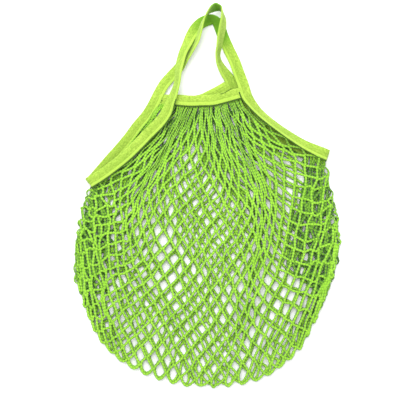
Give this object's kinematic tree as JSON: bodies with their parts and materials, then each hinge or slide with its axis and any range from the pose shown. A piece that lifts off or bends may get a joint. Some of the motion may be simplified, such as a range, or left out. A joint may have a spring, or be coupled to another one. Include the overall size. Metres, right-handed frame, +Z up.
{
  "type": "mesh shopping bag",
  "caption": "Empty cotton net shopping bag lying flat: a diamond-mesh pouch gathered onto short bands, with tape-bound side slits that run on as carrying handles.",
  "frame": {"origin": "middle of the underside of the flat bag's box", "axes": "+Z up from the surface the bag lies on, +Y from the bottom fold toward the handles, +X to the right as seen from above"},
  "size_m": [0.3782, 0.5482, 0.026],
  "materials": {
    "net_yarn": "soft twisted cotton yarn, matte, lime green",
    "band_tape": "woven cotton tape, matte, bright lime green",
    "handle_tape": "folded woven cotton tape, matte, bright lime green"
  },
  "bodies": {
    "root": {"net": "net_yarn", "front_band": "band_tape", "back_band": "band_tape", "handle_tape": "handle_tape"}
  },
  "joints": []
}
